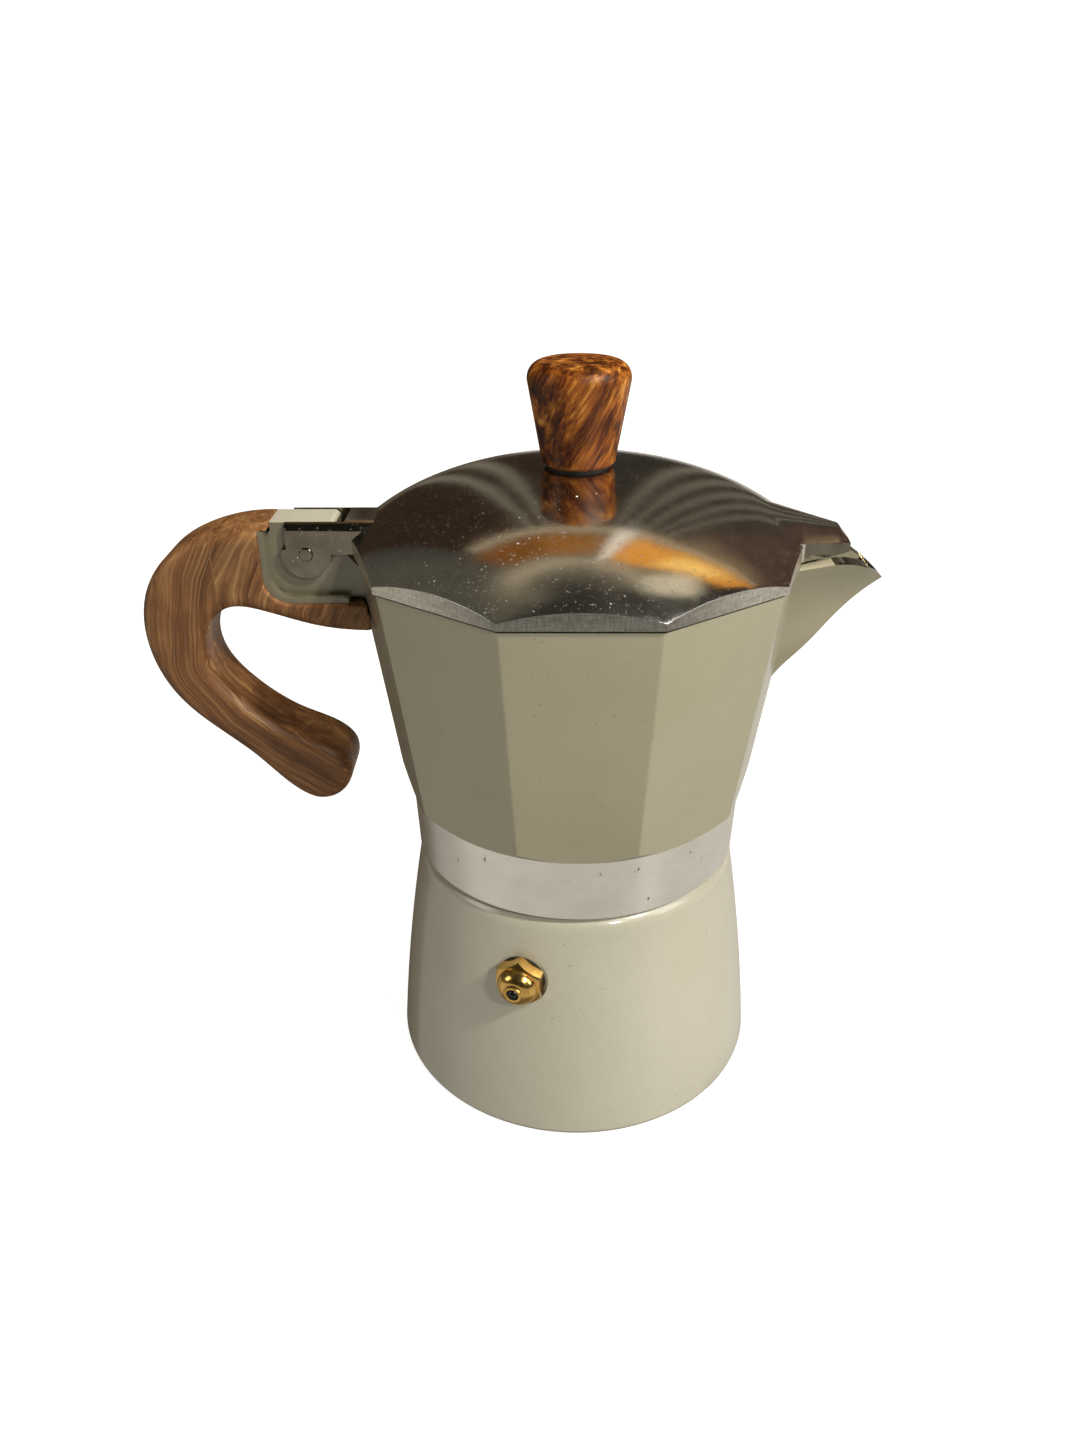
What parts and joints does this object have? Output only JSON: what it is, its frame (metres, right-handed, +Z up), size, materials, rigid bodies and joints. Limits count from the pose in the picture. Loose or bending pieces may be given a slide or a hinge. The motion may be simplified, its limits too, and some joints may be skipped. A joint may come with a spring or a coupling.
{
  "type": "moka pot",
  "caption": "Stovetop coffee maker: round painted boiler with brass safety valve, ten-sided collector with spout, hinged polished lid and wood-print hook handle and knob.",
  "frame": {"origin": "centre of the boiler's flat underside, on the surface it stands on", "axes": "+Z up; +X towards the spout; -X towards the handle; +Y completes a right-handed frame"},
  "size_m": [0.1523, 0.0892, 0.1592],
  "materials": {
    "boiler_paint": "satin greige enamel on cast aluminium",
    "collector_paint": "satin greige enamel, bare brushed skirt below",
    "polished_aluminium": "polished, machined rim",
    "plain_aluminium": "satin",
    "wood_print": "satin phenolic with a wood-grain film",
    "brass": "bright turned",
    "steel": "bright",
    "rubber": "matt"
  },
  "bodies": {
    "boiler": {"boiler_shell": "boiler_paint", "valve_washer": "rubber", "valve_body": "brass", "valve_retainer": "steel", "valve_spring": "steel"},
    "valve_pin": {"valve_pin": "steel"},
    "funnel": {"funnel_basket": "plain_aluminium", "funnel_tube": "plain_aluminium", "funnel_strainer": "plain_aluminium"},
    "seal": {"gasket": "rubber", "filter_plate": "plain_aluminium"},
    "collector": {"collector_body": "collector_paint", "coffee_column": "plain_aluminium", "hinge_pin": "steel", "handle_grip": "wood_print", "handle_screw": "steel", "handle_washer": "steel"},
    "lid": {"lid_shell": "polished_aluminium", "lid_knob": "wood_print", "knob_insert": "brass", "knob_washer": "rubber", "knob_screw": "steel"}
  },
  "joints": [
    {"name": "collector_lift", "type": "slide", "parent": "boiler", "child": "seal", "axis": [0, 0, 1], "range_m": [0, 0.13]},
    {"name": "collector_turn", "type": "hinge", "parent": "seal", "child": "collector", "pos_m": [0, 0, 0], "axis": [0, 0, 1], "range_deg": [0, 540]},
    {"name": "funnel_lift", "type": "slide", "parent": "boiler", "child": "funnel", "axis": [0, 0, 1], "range_m": [0, 0.065]},
    {"name": "lid_hinge", "type": "hinge", "parent": "collector", "child": "lid", "pos_m": [-0.0544, 0, 0.1224], "axis": [0, -1, 0], "range_deg": [0, 95]},
    {"name": "valve_pin_slide", "type": "slide", "parent": "boiler", "child": "valve_pin", "axis": [-0.309, -0.9511, 0], "range_m": [0, 0.0015], "stiffness_N_per_m": 800, "springref_m": -0.001, "deforming": ["valve_spring"]}
  ],
  "couplings": [
    {"joint": "funnel_lift", "follows": "collector_lift", "ratio": 0.5}
  ]
}
